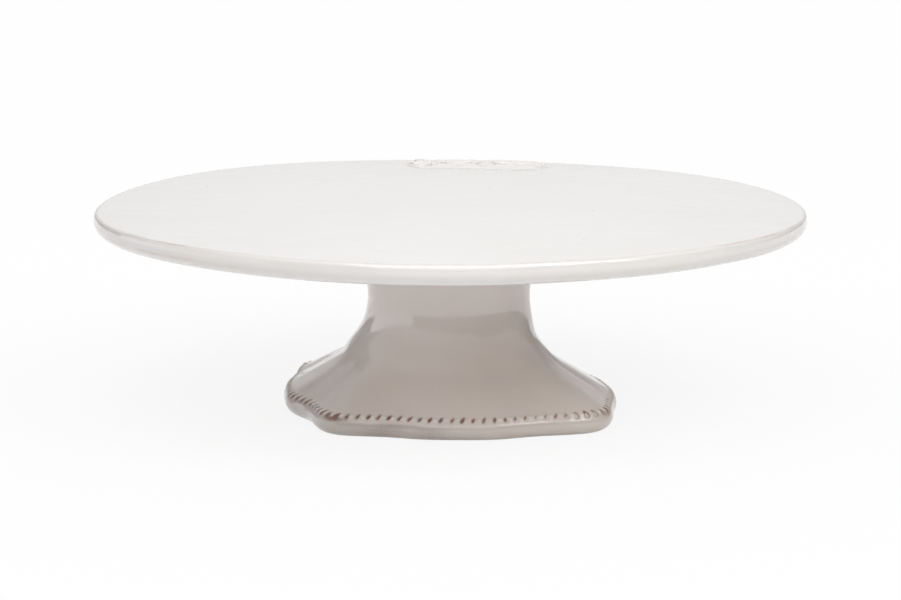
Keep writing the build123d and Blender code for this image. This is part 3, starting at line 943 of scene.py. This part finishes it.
def build_boss():
    """Oval boss: a dome inside a fluted collar."""
    rings, spokes = 30, 56
    share, around = grid(np.linspace(1.0, 0.03, rings), np.linspace(0, FULL_TURN, spokes, endpoint=False))
    along = BOSS + BOSS_HALF_LENGTH * share * np.cos(around)
    outward = BOSS_HALF_DEPTH * share * np.sin(around)
    dome = np.sqrt(np.clip(1 - (share / BOSS_DOME) ** 2, 0, 1)) * BOSS_RISE
    collar = BOSS_COLLAR_RISE * bell(share, BOSS_COLLAR, 0.07)
    flutes = 1 + 0.10 * np.cos(around * BOSS_FLUTES) * bell(share, BOSS_COLLAR, 0.10)
    height = np.maximum(dome, collar * flutes)
    wash = 0.75 * bell(share, BOSS_DOME, 0.05) + 0.45 * smooth_step(0.95, 1.0, share)
    points = on_rim(along, outward, BED_TOP + height - 0.04)
    base = points[0].copy()
    base[:, 2] = BED_TOP - RELIEF_SINK
    vertices = np.vstack([base, points.reshape(-1, 3), [points[-1].mean(axis=0)], [base.mean(axis=0)]])
    faces = lattice_faces(rings + 1, spokes, False, True)
    faces += pole_faces(rings * spokes, spokes, (rings + 1) * spokes, True)
    faces += pole_faces(0, spokes, (rings + 1) * spokes + 1, False)
    shade = np.concatenate([np.full(spokes, 0.4), wash.ravel(), [0, 0]])
    piece = make_piece("relief_boss", vertices, faces, shade)
    finish_piece(piece, ornament_glaze, "ornament_glaze", "ornament_boss")


# ---- camera -------------------------------------------------------------------------------------
def place_camera():
    data = bpy.data.cameras.new("camera")
    focal_pixels = PIXELS_PER_MM * VIEW_DISTANCE
    data.sensor_fit = "HORIZONTAL"
    data.sensor_width = SENSOR_WIDTH
    data.lens = focal_pixels / IMAGE_SIZE[0] * SENSOR_WIDTH
    data.clip_start, data.clip_end = 0.05, 60.0
    camera = bpy.data.objects.new("camera", data)
    bpy.context.scene.collection.objects.link(camera)
    back = Vector((
        math.sin(VIEW_AZIMUTH) * math.cos(VIEW_ELEVATION),
        -math.cos(VIEW_AZIMUTH) * math.cos(VIEW_ELEVATION),
        math.sin(VIEW_ELEVATION),
    ))
    sight = Vector((0, 0, SIGHT_HEIGHT * MM))
    camera.location = sight + back * VIEW_DISTANCE * MM
    # aim so that the plate's middle falls on its own pixel
    towards = back.to_track_quat("Z", "Y").to_matrix()
    right_of_centre = math.atan((SIGHT_PIXEL[0] - IMAGE_SIZE[0] / 2) / focal_pixels)
    above_centre = math.atan((IMAGE_SIZE[1] / 2 - SIGHT_PIXEL[1]) / focal_pixels)
    aim = Matrix.Rotation(right_of_centre, 3, "Y") @ Matrix.Rotation(-above_centre, 3, "X")
    camera.rotation_euler = (towards @ aim).to_euler()
    bpy.context.scene.camera = camera


# ---- floor, world and lamps ---------------------------------------------------------------------
def build_floor():
    """A white sweep that glows further off and keeps the object's shadow near it; clear from below."""
    mesh = bpy.data.meshes.new("floor")
    corners = [(FLOOR_SIZE * x, FLOOR_SIZE * y, 0) for x, y in ((-1, -1), (1, -1), (1, 1), (-1, 1))]
    mesh.from_pydata(corners, [], [(0, 1, 2, 3)])
    floor = bpy.data.objects.new("floor", mesh)
    bpy.context.scene.collection.objects.link(floor)
    nodes = Nodes(bpy.data.materials.new("floor_white"))
    nodes.feed(nodes.shader.inputs["Base Color"], (0.86, 0.86, 0.86, 1.0))
    nodes.feed(nodes.shader.inputs["Roughness"], 0.9)
    glow = nodes.node("ShaderNodeEmission", {"Color": (1, 1, 1, 1), "Strength": 1.0})
    # only camera, glossy and transmission rays see the glow
    path = nodes.node("ShaderNodeLightPath").outputs
    seen = nodes.maths("MAXIMUM", path["Is Camera Ray"], path["Is Glossy Ray"])
    seen = nodes.maths("MAXIMUM", seen, path["Is Transmission Ray"])
    length = nodes.node("ShaderNodeVectorMath", {0: nodes.coordinates()}, operation="LENGTH")
    share = nodes.maths("MULTIPLY", seen, nodes.remap(length.outputs["Value"], 0.05, 0.40, 0.87, 0.985))
    pale = nodes.node("ShaderNodeMixShader", {"Fac": share, 1: nodes.shader.outputs[0], 2: glow.outputs[0]})
    facing = nodes.node("ShaderNodeNewGeometry").outputs["Backfacing"]
    clear = nodes.node("ShaderNodeBsdfTransparent")
    both = nodes.node("ShaderNodeMixShader", {"Fac": facing, 1: pale.outputs[0], 2: clear.outputs[0]})
    nodes.feed(nodes.tree.nodes["Material Output"].inputs["Surface"], both.outputs[0])
    mesh.materials.append(nodes.owner)


def build_world():
    """A dim room with soft light before and behind and a pale ceiling; the camera sees plain white."""
    world = bpy.data.worlds.new("studio")
    bpy.context.scene.world = world
    nodes = Nodes(world)
    sight = nodes.node("ShaderNodeTexCoord").outputs["Generated"]

    def facing(towards):
        values = {0: sight, 1: tuple(towards)}
        return nodes.node("ShaderNodeVectorMath", values, operation="DOT_PRODUCT").outputs["Value"]

    room = ROOM_DARKNESS
    for towards, strength, gathered in ROOM_LIGHT:
        lit = nodes.maths("MAXIMUM", facing(towards / np.linalg.norm(towards)), 0.0)
        patch = nodes.maths("POWER", lit, gathered)
        room = nodes.maths("ADD", room, nodes.maths("MULTIPLY", patch, strength))
    room = nodes.maths("ADD", room, nodes.remap(facing(UPWARDS), *CEILING_EDGE, 0.0, CEILING))
    path = nodes.node("ShaderNodeLightPath").outputs
    seen = nodes.maths("MAXIMUM", path["Is Camera Ray"], path["Is Transmission Ray"])
    backdrop = nodes.tree.nodes["Background"]
    nodes.feed(backdrop.inputs["Color"], (1.0, 1.0, 1.0, 1.0))
    nodes.feed(backdrop.inputs["Strength"], nodes.maths("MAXIMUM", room, seen))


def area_lamp(name, place, size, watts):
    data = bpy.data.lights.new(name, "AREA")
    data.shape = "RECTANGLE"
    data.size, data.size_y = size
    data.energy = watts
    lamp = bpy.data.objects.new(name, data)
    lamp.location = place
    lamp.rotation_euler = (Vector(place) - Vector(LAMP_TARGET)).to_track_quat("Z", "Y").to_euler()
    bpy.context.scene.collection.objects.link(lamp)


# ---- the scene ----------------------------------------------------------------------------------
build_plate()
build_pedestal()
for side, side_name in enumerate(("right", "back", "left", "front")):
    build_beads(f"beads_{side_name}", side * BEADS_PER_SIDE, f"bead_strip_{side_name}")
build_luting_ring()
build_bed()
build_boss()
build_leaves()
left_ribbon = ribbon_patch(LEFT_RIBBON, LEFT_RIBBON_LENGTH, -1)
right_ribbon = ribbon_patch(RIGHT_RIBBON, RIGHT_RIBBON_LENGTH, 1)
relief_piece("relief_ribbon_left", [left_ribbon], "ornament_ribbon_left")
relief_piece("relief_ribbon_right", [right_ribbon], "ornament_ribbon_right")

place_camera()
build_floor()
build_world()
for lamp in LAMPS:
    area_lamp(*lamp)

scene = bpy.context.scene
scene.view_settings.view_transform = "Standard"
